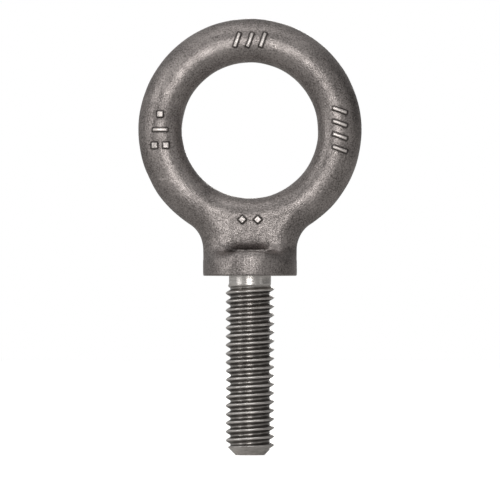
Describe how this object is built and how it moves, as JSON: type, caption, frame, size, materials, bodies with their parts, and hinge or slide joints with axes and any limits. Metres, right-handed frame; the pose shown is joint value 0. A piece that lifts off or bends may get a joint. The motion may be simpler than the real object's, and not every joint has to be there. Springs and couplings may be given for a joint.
{
  "type": "shoulder eye bolt",
  "caption": "Forged lifting eye bolt: a round closed eye on a short neck, a round shoulder with a flat seat, and a coarse-threaded shank with a chamfered tip.",
  "frame": {"origin": "centre of the flat seat under the shoulder, on the shank's axis", "axes": "+Z along the shank's axis towards the eye, +Y along the axis of the eye, +X across the ring; the marked face looks towards -Y"},
  "size_m": [0.0364, 0.0152, 0.0711],
  "materials": {
    "forged_steel": "drop forged carbon steel, descaled and self coloured, fine blasted grain",
    "rolled_thread": "bright rolled thread and turned land, light oil"
  },
  "bodies": {
    "root": {"eye_ring": "forged_steel", "neck_web": "forged_steel", "shoulder": "forged_steel", "threaded_shank": "rolled_thread", "mark_top": "forged_steel", "mark_right": "forged_steel", "mark_left": "forged_steel", "mark_neck": "forged_steel"}
  },
  "joints": []
}
